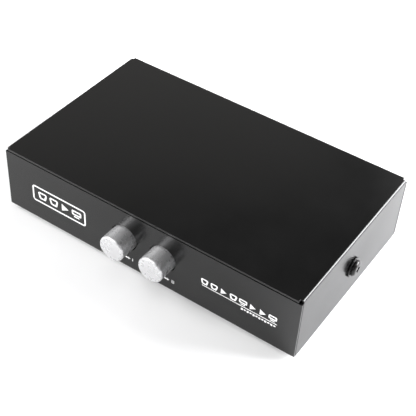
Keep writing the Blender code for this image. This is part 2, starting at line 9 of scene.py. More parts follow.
import math
import bmesh
import bpy
from mathutils import Matrix, Vector


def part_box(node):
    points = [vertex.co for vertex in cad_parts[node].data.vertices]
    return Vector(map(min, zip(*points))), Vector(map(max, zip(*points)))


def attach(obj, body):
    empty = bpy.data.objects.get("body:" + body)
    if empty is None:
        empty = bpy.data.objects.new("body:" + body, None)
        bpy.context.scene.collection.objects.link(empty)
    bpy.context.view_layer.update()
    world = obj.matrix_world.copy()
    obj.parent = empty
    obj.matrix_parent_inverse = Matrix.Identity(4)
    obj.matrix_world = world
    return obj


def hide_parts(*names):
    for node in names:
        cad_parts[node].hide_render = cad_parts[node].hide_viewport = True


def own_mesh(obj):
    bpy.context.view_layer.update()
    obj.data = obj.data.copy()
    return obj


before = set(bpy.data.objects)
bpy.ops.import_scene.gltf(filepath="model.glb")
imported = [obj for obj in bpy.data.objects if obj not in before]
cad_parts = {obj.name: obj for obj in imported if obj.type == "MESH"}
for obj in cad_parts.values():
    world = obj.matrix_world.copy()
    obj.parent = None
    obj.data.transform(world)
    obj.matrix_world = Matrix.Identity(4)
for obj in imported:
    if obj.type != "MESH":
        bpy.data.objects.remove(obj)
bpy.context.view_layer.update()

MM = 0.001

# Sheet metal
SHEET = 1.0 * MM
BEND_R = 1.1 * MM
CORNER_CUT = 1.6 * MM  # where the cover's corners are cut, from its sides
GAP = 0.3 * MM
EDGE_R = 0.14 * MM  # how far a cut edge is rounded over by its paint
EAR_W = 18.0 * MM
EAR_H = 7.0 * MM
COLLAR = (3.4 * MM, 1.6 * MM)  # radius and length
SCREW_HOLE_R = 2.05 * MM
CUT_PAST = 2.0 * MM

# Turned and moulded pieces
CAP_EDGE = 1.0 * MM
CAP_CROWN = 0.25 * MM
CAP_CLEARANCE = 0.5 * MM
SHAFT_ROOM = 4.6 * MM
SHAFT_IN_CAP = 7.3 * MM
SCREW_SHANK_R = 1.75 * MM
SCREW_FACE_R = 2.4 * MM
SCREW_RIM = 0.3 * MM
SCREW_HEAD_H = 1.5 * MM
THREAD_PITCH = 0.7 * MM
THREAD_DEPTH = 0.3 * MM
RECESS = (0.9 * MM, 3.6 * MM, 1.0 * MM)  # cross recess: width, length and depth
FINE_THREAD_PITCH = 0.6 * MM
FINE_THREAD_DEPTH = 0.2 * MM
THREAD_CREST = 0.1  # where each turn's crest and root lie, as shares of the pitch
THREAD_ROOT = 0.55
FINE_EDGE = 0.06 * MM
WASHER_EDGE = 0.2 * MM
FOOT_ROUND = 0.6 * MM
FOOT_DIMPLE = 0.4 * MM
FOOT_DIMPLE_SHARE = 0.55  # the dimple's radius as a share of the foot's
SPRING_TURNS = 5.5
PRESS_WIRE_R = 0.25 * MM
LATCH_WIRE_R = 0.2 * MM
CORNER_STEPS = 10

# Connectors
SOCKET_W = 16.3 * MM
SOCKET_H = 7.9 * MM
SOCKET_CORNER_R = 2.6 * MM
SOCKET_SLANT = math.radians(10)
SHELL_T = 0.5 * MM
FLANGE_T = 0.8 * MM
FLANGE_CORNER_R = 1.0 * MM
SHELL_EDGE = 0.08 * MM
SLEEVE_FILLET = 0.6 * MM
INSULATOR_EDGE = 0.25 * MM
CUTOUT_MARGIN = 0.6 * MM
PIN_COLUMNS = 5
PIN_ROWS = 3
PIN_PITCH = 2.29 * MM
PIN_ROW_PITCH = 1.98 * MM
PIN_HOLE_R = 0.55 * MM
PIN_HOLE_L = 5.0 * MM
PIN_FUNNEL = 0.3 * MM
CONTACT_ROOM = 0.05 * MM
CONTACT_T = 0.15 * MM
CONTACT_ENDS = (0.1 * MM, 0.9 * MM)  # from the hole's bottom and from its mouth
JACK_SPACING = 25.0 * MM
JACK_AF = 4.8 * MM
JACK_CHAMFER_DEG = 60
JACK_CHAMFER = 1.15  # how much of the corners the chamfer takes: 1 just touches the flats
JACK_BORE_R = 1.4 * MM
JACK_BORE_L = 4.0 * MM
STUD_R = 1.35 * MM
STUD_HOLE_R = 1.7 * MM
POST_HOLE_R = 2.4 * MM

# Printed marks. Those with four numbers give their left, right, low and high sides, measured from the
# case's left side and from its underside.
INK = 0.04 * MM
BADGE = (14.3 * MM, 44.3 * MM, 10.5 * MM, 19.4 * MM)
BADGE_LINE = 0.8 * MM
BADGE_R = 1.5 * MM
BADGE_SIGNS = (17.3 * MM, 41.9 * MM, 12.9 * MM, 16.8 * MM)
BADGE_STROKE = 0.85 * MM
BADGE_GAP = 1.1 * MM
NUMBER_X = (65.8 * MM, 86.2 * MM)  # the left sides of the two marks beside the buttons
NUMBER_Z = (5.2 * MM, 6.8 * MM)
NUMBER_STEM = 1.5 * MM
NUMBER_STEM_INSET = 0.4 * MM
NUMBER_HEAD = (1.55 * MM, 2.7 * MM)
DIGIT_X = 3.7 * MM
DIGIT_W = 1.5 * MM
DIGIT_STROKE = 0.36 * MM
SIGNS = (104.3 * MM, 140.5 * MM, 14.5 * MM, 17.5 * MM)
SIGN_STROKE = 0.66 * MM
SIGN_GAP = 0.75 * MM
RULE = (105.0 * MM, 140.8 * MM, 13.55 * MM, 13.9 * MM)
TICKS = (124.0 * MM, 140.6 * MM, 11.7 * MM, 12.7 * MM)
TICK_COUNT = 12
TICK_SHARE = 0.68  # how much of each step is inked
TICK_SHORT = 0.3  # how much of its lower end every second tick leaves out

# Studio
AIM = (0, 0, 17 * MM)  # the point that every light faces
SKY = (  # brightness of the sky at each height, from the horizon at 0 to straight above at 1
    (0.0, 0.4),
    (0.25, 0.3),
    (0.35, 0.12),
    (0.5, 0.3),
    (0.62, 0.02),
    (0.87, 0.02),
    (1.0, 1.2),
)

# Places that come from the frame
_, CASE_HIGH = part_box("top_cover")
CHASSIS_LOW, CHASSIS_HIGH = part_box("chassis")
SIDE = CASE_HIGH.x
FRONT, REAR = CHASSIS_LOW.y, CHASSIS_HIGH.y
BASE, TOP = CHASSIS_LOW.z, CASE_HIGH.z
PANEL_TOP = CHASSIS_HIGH.z
PORTS = ("port_out", "port_in_1", "port_in_2")
SIDES = (("left", -1), ("right", 1))

TOWARDS = {
    "up": (0, 0, 0),
    "right": (0, math.pi / 2, 0),
    "left": (0, -math.pi / 2, 0),
    "front": (math.pi / 2, 0, 0),
    "rear": (-math.pi / 2, 0, 0),
}


def middle(node):
    low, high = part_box(node)
    return (low + high) / 2


# ---------------------------------------------------------------- materials


class Finish:
    """A Principled material whose patterns are placed in the object's own metres."""

    def __init__(self, name, colour, roughness, metallic=0.0, **more):
        self.material = bpy.data.materials.new(name)
        self.material.use_nodes = True
        self.tree = self.material.node_tree
        self.shader = self.tree.nodes["Principled BSDF"]
        self.set("Base Color", (*colour, 1.0))
        self.set("Roughness", roughness)
        self.set("Metallic", metallic)
        for socket, value in more.items():
            self.set(socket.replace("_", " "), value)
        self.place = self.node("ShaderNodeTexCoord").outputs["Object"]
        self.height = None

    def set(self, socket, value):
        self.shader.inputs[socket].default_value = value

    def node(self, kind, **settings):
        made = self.tree.nodes.new(kind)
        for key, value in settings.items():
            setattr(made, key, value)
        return made

    def link(self, start, end):
        self.tree.links.new(start, end)

    def stretched(self, scale):
        """The place, stretched along its axes, for grain that runs one way."""
        mapping = self.node("ShaderNodeMapping")
        mapping.inputs["Scale"].default_value = scale
        self.link(self.place, mapping.inputs["Vector"])
        return mapping.outputs["Vector"]

    def noise(self, size, detail=3.0, roughness=0.5, place=None):
        made = self.node("ShaderNodeTexNoise")
        made.inputs["Scale"].default_value = 1 / size
        made.inputs["Detail"].default_value = detail
        made.inputs["Roughness"].default_value = roughness
        self.link(place or self.place, made.inputs["Vector"])
        return made.outputs["Fac"]

    def cells(self, size):
        made = self.node("ShaderNodeTexVoronoi")
        made.inputs["Scale"].default_value = 1 / size
        self.link(self.place, made.inputs["Vector"])
        return made.outputs["Distance"]

    def between(self, value, low, high, start=0.0, end=1.0):
        """Maps value from start..end to low..high, held at both ends."""
        made = self.node("ShaderNodeMapRange")
        self.link(value, made.inputs["Value"])
        made.inputs["From Min"].default_value = start
        made.inputs["From Max"].default_value = end
        made.inputs["To Min"].default_value = low
        made.inputs["To Max"].default_value = high
        return made.outputs["Result"]

    def math(self, operation, one, other):
        made = self.node("ShaderNodeMath", operation=operation)
        for socket, value in zip(made.inputs, (one, other)):
            if isinstance(value, float):
                socket.default_value = value
            else:
                self.link(value, socket)
        return made.outputs["Value"]

    def vary_colour(self, value, low, high):
        mixed = self.node("ShaderNodeMix", data_type="RGBA")
        self.link(value, mixed.inputs["Factor"])
        mixed.inputs[6].default_value = (*low, 1.0)
        mixed.inputs[7].default_value = (*high, 1.0)
        self.link(mixed.outputs[2], self.shader.inputs["Base Color"])

    def vary_roughness(self, value, low, high):
        self.link(self.between(value, low, high, 0.3, 0.7), self.shader.inputs["Roughness"])

    def bump(self, value, depth, strength=1.0):
        made = self.node("ShaderNodeBump")
        made.inputs["Strength"].default_value = strength
        made.inputs["Distance"].default_value = depth
        self.link(value, made.inputs["Height"])
        if self.height:
            self.link(self.height, made.inputs["Normal"])
        self.height = made.outputs["Normal"]
        self.link(self.height, self.shader.inputs["Normal"])


def black_paint():
    """Satin powder paint: fine orange peel, slight rub marks and a few specks of dust."""
    made = Finish("black_paint", (0.006, 0.006, 0.006), 0.2, IOR=1.43)
    rubbed = made.noise(28 * MM, 4.0, 0.6)
    made.vary_roughness(rubbed, 0.17, 0.25)
    specks = made.between(made.cells(4.2 * MM), 1.0, 0.0, 0.02, 0.035)
    shade = made.math("MULTIPLY", made.noise(0.35 * MM, 2.0), 0.35)
    lightened = made.math("MAXIMUM", shade, made.math("MULTIPLY", specks, 0.5))
    made.vary_colour(lightened, (0.003, 0.003, 0.003), (0.012, 0.012, 0.012))
    made.bump(made.noise(0.9 * MM, 2.0, 0.5), 0.006 * MM, 0.6)
    made.bump(made.noise(0.22 * MM, 2.0, 0.6), 0.002 * MM, 0.5)
    return made.material


def black_oxide():
    made = Finish("black_oxide", (0.02, 0.02, 0.021), 0.24, 0.75, IOR=1.6)
    made.vary_roughness(made.noise(0.8 * MM, 4.0), 0.16, 0.34)
    made.vary_colour(made.noise(1.6 * MM, 3.0), (0.014, 0.014, 0.015), (0.035, 0.034, 0.033))
    made.bump(made.noise(0.2 * MM, 3.0), 0.004 * MM)
    return made.material


def silver_finish():
    """Metallic silver lacquer on a moulded cap: fine flakes under a satin coat."""
    made = Finish("silver_lacquer", (0.7, 0.7, 0.71), 0.26, 0.55, Coat_Weight=0.3, Coat_Roughness=0.1)
    flakes = made.cells(0.12 * MM)
    made.vary_colour(flakes, (0.68, 0.68, 0.69), (0.57, 0.57, 0.58))
    made.vary_roughness(made.noise(2.4 * MM, 4.0), 0.24, 0.32)
    made.bump(made.noise(0.1 * MM, 2.0), 0.0015 * MM, 0.6)
    return made.material


def plated(name, dark, light, roughness):
    """Bright plating with faint drawing marks."""
    made = Finish(name, light, roughness, 1.0)
    stained = made.noise(3.2 * MM, 4.0, 0.6)
    made.vary_colour(stained, dark, light)
    streaks = made.noise(1.2 * MM, 3.0, 0.6, made.stretched((1.0, 0.12, 1.0)))
    made.vary_roughness(streaks, roughness * 0.7, roughness * 1.4)
    made.bump(streaks, 0.002 * MM, 0.6)
    return made.material


def moulded(name, dark, light, roughness):
    """Moulded plastic with a fine eroded texture."""
    made = Finish(name, light, roughness, IOR=1.48)
    made.vary_colour(made.noise(2.8 * MM, 3.0), dark, light)
    made.vary_roughness(made.noise(1.4 * MM, 3.0), roughness * 0.85, roughness * 1.15)
    made.bump(made.noise(0.3 * MM, 3.0, 0.6), 0.008 * MM, 0.6)
    return made.material


def board_finish():
    """Solder mask over copper tracks that run along the board, with tinned pads."""
    made = Finish("board_mask", (0.02, 0.12, 0.05), 0.3, IOR=1.5)
    runs = made.node("ShaderNodeTexBrick")
    runs.offset, runs.offset_frequency, runs.squash, runs.squash_frequency = 0.37, 3, 0.6, 2
    runs.inputs["Scale"].default_value = 1 / (16 * MM)
    runs.inputs["Mortar Size"].default_value = 0.012
    runs.inputs["Row Height"].default_value = 0.09
    runs.inputs["Brick Width"].default_value = 2.4
    made.link(made.place, runs.inputs["Vector"])
    tracks = made.between(runs.outputs["Fac"], 0.15, 0.85)
    mottled = made.math("MULTIPLY", made.noise(6 * MM, 4.0), tracks)
    made.vary_colour(mottled, (0.01, 0.075, 0.032), (0.028, 0.15, 0.06))
    made.bump(tracks, 0.03 * MM, 0.7)
    made.vary_roughness(made.noise(3 * MM), 0.26, 0.4)
    return made.material


def rubber_finish():
    made = Finish("foot_rubber", (0.02, 0.02, 0.02), 0.8, IOR=1.5)
    made.vary_colour(made.noise(1.6 * MM, 4.0), (0.012, 0.012, 0.012), (0.035, 0.034, 0.033))
    made.vary_roughness(made.noise(0.8 * MM), 0.7, 0.92)
    made.bump(made.noise(0.3 * MM, 3.0), 0.02 * MM)
    return made.material


def ink_finish():
    """Screen-printed ink: not quite even, with a slightly raised grain."""
    made = Finish("white_ink", (0.86, 0.86, 0.86), 0.5, IOR=1.48)
    made.vary_colour(made.noise(0.6 * MM, 3.0), (0.78, 0.78, 0.79), (0.92, 0.92, 0.92))
    made.vary_roughness(made.noise(0.5 * MM), 0.42, 0.6)
    made.bump(made.noise(0.15 * MM, 2.0), 0.004 * MM)
    return made.material


PAINT = black_paint()
OXIDE = black_oxide()
SILVER = silver_finish()
NICKEL = plated("nickel", (0.56, 0.53, 0.48), (0.68, 0.66, 0.61), 0.26)
STEEL = plated("spring_steel", (0.46, 0.46, 0.45), (0.62, 0.62, 0.61), 0.3)
BRASS = plated("brass", (0.62, 0.42, 0.15), (0.78, 0.58, 0.26), 0.3)
BRONZE = plated("contact_bronze", (0.52, 0.3, 0.15), (0.68, 0.42, 0.24), 0.32)
BLUE = moulded("connector_blue", (0.006, 0.024, 0.15), (0.011, 0.038, 0.2), 0.42)
WHITE = moulded("plunger_white", (0.7, 0.69, 0.64), (0.8, 0.79, 0.75), 0.45)
BLACK = moulded("switch_black", (0.012, 0.012, 0.013), (0.03, 0.03, 0.031), 0.5)
BOARD = board_finish()
RUBBER = rubber_finish()
INK_WHITE = ink_finish()

# ---------------------------------------------------------------- shapes


def add(name, data, at=(0, 0, 0), towards="up"):
    made = bpy.data.objects.new(name, data)
    made.location = at
    made.rotation_euler = TOWARDS[towards]
    bpy.context.scene.collection.objects.link(made)
    return made


def from_bmesh(name, shape, at=(0, 0, 0), towards="up"):
    mesh = bpy.data.meshes.new(name)
    shape.to_mesh(mesh)
    shape.free()
    return add(name, mesh, at, towards)


def block(name, x, y, z):
    shape = bmesh.new()
    bmesh.ops.create_cube(shape, size=1.0)
    spans = [(min(pair), max(pair)) for pair in (x, y, z)]
    bmesh.ops.scale(shape, vec=[high - low for low, high in spans], verts=shape.verts)
    return from_bmesh(name, shape, [(low + high) / 2 for low, high in spans])


def rod(name, radius, length, at, towards, sides=64):
    """A cylinder or prism that starts at a point and runs one way from it."""
    shape = bmesh.new()
    bmesh.ops.create_cone(
        shape, cap_ends=True, segments=sides, radius1=radius, radius2=radius, depth=length
    )
    bmesh.ops.translate(shape, vec=(0, 0, length / 2), verts=shape.verts)
    return from_bmesh(name, shape, at, towards)


def turned(name, profile, at, towards, steps=96, ring=False):
    """A turned piece, its (radius, height) profile running down the outer side."""
    mesh = bpy.data.meshes.new(name)
    edges = [(i, i + 1) for i in range(len(profile) - 1)]
    if ring:
        edges.append((len(profile) - 1, 0))
    mesh.from_pydata([(radius, 0, height) for radius, height in profile], edges, [])
    made = add(name, mesh, at, towards)
    spin = made.modifiers.new("Spin", "SCREW")
    spin.steps = spin.render_steps = steps
    spin.use_merge_vertices = True
    spin.merge_threshold = 1e-6
    return made


def arc(centre, radius, start, end, steps):
    angles = [math.radians(start + (end - start) * i / steps) for i in range(steps + 1)]
    return [(centre[0] + radius * math.cos(a), centre[1] + radius * math.sin(a)) for a in angles]


def circle(centre, radius):
    return arc(centre, radius, 0, 360, 40)[:-1]


def rounded(corners, radius):
    """A convex outline, its corners given anticlockwise, with each corner rounded."""
    points = []
    for i, (x, y) in enumerate(corners):
        before, after = corners[i - 1], corners[(i + 1) % len(corners)]
        heading = math.atan2(y - before[1], x - before[0])
        turn = (math.atan2(after[1] - y, after[0] - x) - heading) % math.tau
        along = radius * math.tan(turn / 2)
        centre = (
            x - along * math.cos(heading) - radius * math.sin(heading),
            y - along * math.sin(heading) + radius * math.cos(heading),
        )
        start = math.degrees(heading) - 90
        points += arc(centre, radius, start, start + math.degrees(turn), CORNER_STEPS)
    return points


def box_outline(left, right, low, high, radius):
    return rounded(((left, low), (right, low), (right, high), (left, high)), radius)


def rectangle(width, height, radius):
    return box_outline(-width / 2, width / 2, -height / 2, height / 2, radius)


def socket_outline(grow):
    """The connector's D, long side up, grown or shrunk all round."""
    half, high = SOCKET_W / 2, SOCKET_H / 2
    lean = SOCKET_H * math.tan(SOCKET_SLANT)
    top = half + grow / math.cos(SOCKET_SLANT) + grow * math.tan(SOCKET_SLANT)
    low = half - lean + grow / math.cos(SOCKET_SLANT) - grow * math.tan(SOCKET_SLANT)
    corners = ((-low, -high - grow), (low, -high - grow), (top, high + grow), (-top, high + grow))
    return rounded(corners, SOCKET_CORNER_R + grow)


def outlined(name, loops, y, at=(0, 0)):
    """A flat piece across Y: filled loops of (x, z) points about a middle, between two values of y."""
    flat = bpy.data.curves.new(name, "CURVE")
    flat.dimensions = "2D"
    flat.fill_mode = "BOTH"
    flat.extrude = abs(y[1] - y[0]) / 2
    for loop in loops:
        spline = flat.splines.new("POLY")
        spline.points.add(len(loop) - 1)
        for point, (across, up) in zip(spline.points, loop):
            point.co = (across, up, 0, 1)
        spline.use_cyclic_u = True
    drawn = add(name, flat, (at[0], (y[0] + y[1]) / 2, at[1]), "front")
    return baked(drawn)


def lofted(name, loops, y_of, at):
    """A closed ring of loops, each at its own y, joined one to the next."""
    count = len(loops[0])
    points = [(at[0] + x, y, at[1] + z) for loop, y in zip(loops, y_of) for x, z in loop]
    faces = []
    for row in range(len(loops)):
        after = (row + 1) % len(loops)
        for i in range(count):
            j = (i + 1) % count
            faces.append((row * count + i, row * count + j, after * count + j, after * count + i))
    mesh = bpy.data.meshes.new(name)
    mesh.from_pydata(points, [], faces)
    made = add(name, mesh)
    return baked(made)


def baked(made):
    """The object with its modifiers and place worked into its own mesh. Its Boolean tools are removed."""
    bpy.context.view_layer.update()
    tools = [m.object for m in made.modifiers if m.type == "BOOLEAN"]
    graph = bpy.context.evaluated_depsgraph_get()
    mesh = bpy.data.meshes.new_from_object(made.evaluated_get(graph))
    mesh.transform(made.matrix_world)
    shape = bmesh.new()
    shape.from_mesh(mesh)
    bmesh.ops.remove_doubles(shape, verts=shape.verts, dist=1e-7)
    bmesh.ops.recalc_face_normals(shape, faces=shape.faces)
    shape.to_mesh(mesh)
    shape.free()
    name = made.name
    for thing in (made, *tools):
        bpy.data.objects.remove(thing, do_unlink=True)
    return add(name, mesh)


def combine(target, tool, operation):
    boolean = target.modifiers.new(tool.name, "BOOLEAN")
    boolean.operation = operation
    boolean.solver = "EXACT"
    boolean.object = tool
    tool.hide_render = True


def cut(target, tool):
    combine(target, tool, "DIFFERENCE")


def join(target, tool):
    combine(target, tool, "UNION")


def smooth(piece, angle):
    piece.data.shade_smooth()
    piece.data.set_sharp_from_angle(angle=math.radians(angle))
    weigh = piece.modifiers.new("Even shading", "WEIGHTED_NORMAL")
    weigh.keep_sharp = True


def soften(piece, width, angle, segments=2):
    """Rounds the piece's sharp edges."""
    round_off = piece.modifiers.new("Rounded edges", "BEVEL")
    round_off.width = width
    round_off.segments = segments
    round_off.limit_method = "ANGLE"
    round_off.angle_limit = math.radians(angle)
    round_off.use_clamp_overlap = False
    round_off.miter_outer = "MITER_ARC"


def finish(piece, node, material, body="case", angle=40):
    """Puts a modelled piece in its CAD node's place."""
    piece.data.materials.clear()
    piece.data.materials.append(material)
    smooth(piece, angle)
    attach(piece, body)
    if node:
        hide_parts(node)
    return piece


def keep(node, material, width):
    """A CAD piece whose shape is right: it gets its material, and its edges are rounded."""
    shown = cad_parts[node]
    shown.data.materials.clear()
    shown.data.materials.append(material)
    weld = shown.modifiers.new("Weld", "WELD")
    weld.merge_threshold = 1e-6
    soften(shown, width, 45)


# ---------------------------------------------------------------- sheet metal


def folded(name, section, across, length):
    """A sheet folded along one axis. The section is its outer face, with the outside on its left."""
    ends = (-length / 2, length / 2)
    if across == "X":
        points = [(end, a, b) for end in ends for a, b in section]
    else:
        points = [(a, end, b) for end in ends for a, b in section]
    count = len(section)
    mesh = bpy.data.meshes.new(name)
    mesh.from_pydata(points, [], [(i, i + 1, count + i + 1, count + i) for i in range(count - 1)])
    made = add(name, mesh)
    fold = made.modifiers.new("Fold", "BEVEL")
    fold.width = BEND_R
    fold.segments = 12
    fold.limit_method = "ANGLE"
    thicken = made.modifiers.new("Sheet", "SOLIDIFY")
    thicken.thickness = SHEET
    thicken.offset = -1
    thicken.use_even_offset = True
    return made


def make_cover():
    section = ((-SIDE, BASE), (-SIDE, TOP), (SIDE, TOP), (SIDE, BASE))
    cover = folded("cover_sheet", section, "Y", REAR - FRONT)
    cover.location.y = (FRONT + REAR) / 2
    for side, sign in SIDES:
        x = (sign * (SIDE - CORNER_CUT), sign * (SIDE + CUT_PAST))
        z = (BASE - CUT_PAST, TOP + CUT_PAST)
        for end, edge, inward in (("front", FRONT, 1), ("rear", REAR, -1)):
            y = (edge - inward * CUT_PAST, edge + inward * (SHEET + GAP))
            cut(cover, block(f"{side}_{end}_corner_cut", x, y, z))
        place = middle(f"{side}_case_screw")
        start = (sign * (SIDE - SHEET - CUT_PAST), place.y, place.z)
        hole = rod(f"{side}_cover_hole", SCREW_HOLE_R + GAP, SHEET + 2 * CUT_PAST, start, side)
        cut(cover, hole)
    soften(cover, EDGE_R, 50, 3)
    finish(baked(cover), "top_cover", PAINT)


def make_chassis():
    section = ((FRONT, PANEL_TOP), (FRONT, BASE), (REAR, BASE), (REAR, PANEL_TOP))
    chassis = folded("chassis_sheet", section, "X", 2 * SIDE)
    for side, sign in SIDES:
        edge = SIDE - SHEET - GAP
        face = edge - GAP / 2
        place = middle(f"{side}_case_screw")
        x = (sign * face, sign * (face - SHEET))
        y = (place.y - EAR_W / 2, place.y + EAR_W / 2)
        join(chassis, block(f"{side}_ear", x, y, (BASE + SHEET / 3, place.z + EAR_H)))
        inward = "right" if side == "left" else "left"
        at = (sign * (face - SHEET / 2), place.y, place.z)
        join(chassis, rod(f"{side}_collar", COLLAR[0], COLLAR[1] + SHEET / 2, at, inward))
        at = (sign * (SIDE + CUT_PAST), place.y, place.z)
        length = 2 * CUT_PAST + 2 * SHEET + COLLAR[1] + GAP
        cut(chassis, rod(f"{side}_ear_hole", SCREW_HOLE_R, length, at, inward))
    through = SHEET + 2 * CUT_PAST
    for number in (1, 2):
        low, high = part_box(f"button_cap_{number}")
        at = ((low.x + high.x) / 2, FRONT - CUT_PAST, (low.z + high.z) / 2)
        radius = (high.x - low.x) / 2 + CAP_CLEARANCE
        cut(chassis, rod(f"button_hole_{number}", radius, through, at, "rear", 96))
    panel = (REAR - SHEET - CUT_PAST, REAR + CUT_PAST)
    for port in PORTS:
        at = middle(f"{port}_shell")
        hole = outlined(f"{port}_cutout", [socket_outline(CUTOUT_MARGIN)], panel, (at.x, at.z))
        cut(chassis, hole)
        for side, _ in SIDES:
            at = middle(f"{port}_{side}_jackscrew")
            start = (at.x, panel[0], at.z)
            cut(chassis, rod(f"{port}_{side}_hole", STUD_HOLE_R, through, start, "rear", 40))
    for end in ("front", "rear"):
        for side, _ in SIDES:
            at = middle(f"{end}_{side}_board_post")
            start = (at.x, at.y, BASE - CUT_PAST)
            cut(chassis, rod(f"{end}_{side}_hole", POST_HOLE_R, through, start, "up", 40))
    soften(chassis, EDGE_R, 50, 3)
    # This cut crosses the bends at a slant, where a rounded edge would make spikes, so it comes last.
    for side, sign in SIDES:
        x = (sign * (SIDE - SHEET - GAP), sign * (SIDE + CUT_PAST))
        y = (FRONT + SHEET, REAR - SHEET)
        cut(chassis, block(f"{side}_bottom_cut", x, y, (BASE - CUT_PAST, BASE + 2 * BEND_R)))
    finish(baked(chassis), "chassis", PAINT)


# ---------------------------------------------------------------- turned pieces


def thread(radius, depth, pitch, start, length):
    """The zigzag side of a threaded shank or bore, running down from start."""
    turns = int(length / pitch)
    points = []
    for i in range(turns):
        high = start - i * pitch
        points.append((radius, high - THREAD_CREST * pitch))
        points.append((radius - depth, high - THREAD_ROOT * pitch))
    return points


def make_caps():
    for number in (1, 2):
        node = f"button_cap_{number}"
        low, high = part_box(node)
        radius, length = (high.x - low.x) / 2, high.y - low.y
        x, z = (low.x + high.x) / 2, (low.z + high.z) / 2
        flat = radius - CAP_EDGE
        crown_r = (flat**2 + CAP_CROWN**2) / (2 * CAP_CROWN)
        lean = math.degrees(math.asin(flat / crown_r))
        crown = arc((0, length - crown_r), crown_r, 90, 90 - lean, 12)[1:-1]
        edge = arc((flat, length - CAP_CROWN - CAP_EDGE), CAP_EDGE, 90, 0, 12)
        skirt = arc((radius - EDGE_R, EDGE_R), EDGE_R, 0, -90, 4)
        profile = [(0, length), *crown, *edge, *skirt, (0, 0)]
        cap = turned(f"cap_{number}", profile, (x, high.y, z), "front", 128)
        half = SHAFT_ROOM / 2
        socket = (low.y + length - SHAFT_IN_CAP, high.y + CUT_PAST)
        cut(cap, block(f"cap_socket_{number}", (x - half, x + half), socket, (z - half, z + half)))
        finish(baked(cap), node, SILVER, f"button_{number}")


def make_case_screws():
    for side, sign in SIDES:
        low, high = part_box(f"{side}_screw_washer")
        radius, thick = (high.y - low.y) / 2, high.x - low.x
        inner = (sign * (SIDE + GAP), (low.y + high.y) / 2, (low.z + high.z) / 2)
        flat = radius - WASHER_EDGE
        ring = [
            *arc((flat, thick - WASHER_EDGE), WASHER_EDGE, 90, 0, 6),
            *arc((flat, WASHER_EDGE), WASHER_EDGE, 0, -90, 6),
            (SCREW_HOLE_R, 0),
            (SCREW_HOLE_R, thick),
        ]
        washer = turned(f"{side}_washer", ring, inner, side, 96, True)
        finish(baked(washer), f"{side}_screw_washer", OXIDE)

        low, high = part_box(f"{side}_case_screw")
        head_r = (high.y - low.y) / 2
        length = high.x - low.x - SCREW_HEAD_H
        under = sign * (max(abs(low.x), abs(high.x)) - SCREW_HEAD_H)
        at = (under, (low.y + high.y) / 2, (low.z + high.z) / 2)
        profile = [(0, SCREW_HEAD_H), (SCREW_FACE_R, SCREW_HEAD_H)]
        for across, up in arc((0, 0), 1, 90, 0, 16)[1:]:
            radius = SCREW_FACE_R + (head_r - SCREW_FACE_R) * across
            profile.append((radius, SCREW_RIM + (SCREW_HEAD_H - SCREW_RIM) * up))
        profile += [(head_r, 0), (SCREW_SHANK_R, 0)]
        profile += thread(SCREW_SHANK_R, THREAD_DEPTH, THREAD_PITCH, 0, length - THREAD_PITCH)
        profile += [(SCREW_SHANK_R - THREAD_DEPTH, -length), (0, -length)]
        screw = turned(f"{side}_screw", profile, at, side)
        wide, long, deep = RECESS
        outer = under + sign * (SCREW_HEAD_H + CUT_PAST)
        inner = under + sign * (SCREW_HEAD_H - deep)
        for way, half_y, half_z in (("level", long, wide), ("upright", wide, long)):
            y = (at[1] - half_y / 2, at[1] + half_y / 2)
            z = (at[2] - half_z / 2, at[2] + half_z / 2)
            cut(screw, block(f"{side}_recess_{way}", (inner, outer), y, z))
        soften(screw, FINE_EDGE, 60)
        finish(baked(screw), f"{side}_case_screw", OXIDE)


def make_feet():
    for end in ("front", "rear"):
        for side, _ in SIDES:
            node = f"{end}_{side}_foot"
            low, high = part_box(node)
            radius, tall = (high.x - low.x) / 2, high.z - low.z
            dimple = radius * FOOT_DIMPLE_SHARE
            profile = [
                (0, tall),
                *arc((radius - EDGE_R, tall - EDGE_R), EDGE_R, 90, 0, 4),
                *arc((radius - FOOT_ROUND, FOOT_ROUND), FOOT_ROUND, 0, -90, 8),
                *arc((dimple, FOOT_DIMPLE / 2), FOOT_DIMPLE / 2, -90, -180, 5),
                (dimple - FOOT_DIMPLE / 2, FOOT_DIMPLE),
                (0, FOOT_DIMPLE),
            ]
            at = ((low.x + high.x) / 2, (low.y + high.y) / 2, low.z)
            finish(baked(turned(f"{node}_pad", profile, at, "up")), node, RUBBER)


# ---------------------------------------------------------------- connectors


def pin_places():
    for row in range(PIN_ROWS):
        shift = PIN_PITCH / 4 * (1 if row % 2 else -1)
        up = ((PIN_ROWS - 1) / 2 - row) * PIN_ROW_PITCH
        for column in range(PIN_COLUMNS):
            yield (column - (PIN_COLUMNS - 1) / 2) * PIN_PITCH + shift, up


def make_shell(port, x, z):
    node = f"{port}_shell"
    low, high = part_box(node)
    jacks = [circle((sign * JACK_SPACING / 2, 0), STUD_HOLE_R) for _, sign in SIDES]
    flange = rectangle(high.x - low.x, high.z - low.z, FLANGE_CORNER_R)
    inner = socket_outline(-SHELL_T)
    front = low.y + FLANGE_T
    plate = outlined(f"{port}_plate", [flange, inner, *jacks], (low.y, front), (x, z))
    rows = [(-SHELL_T, low.y + FLANGE_T / 2)]
    fillet = SLEEVE_FILLET
    rows += [(fillet, low.y + FLANGE_T / 2), (fillet, front)]
    rows += [(fillet - a, front + b) for a, b in arc((0, fillet), fillet, -90, 0, 6)[1:]]
    lip = SHELL_T / 2
    rows += [(b - lip, high.y - lip + a) for b, a in arc((0, 0), lip, 0, 180, 8)]
    outlines = [socket_outline(grow) for grow, _ in rows]
    sleeve = lofted(f"{port}_sleeve", outlines, [y for _, y in rows], (x, z))
    join(plate, sleeve)
    soften(plate, SHELL_EDGE, 60)
    finish(baked(plate), node, NICKEL)


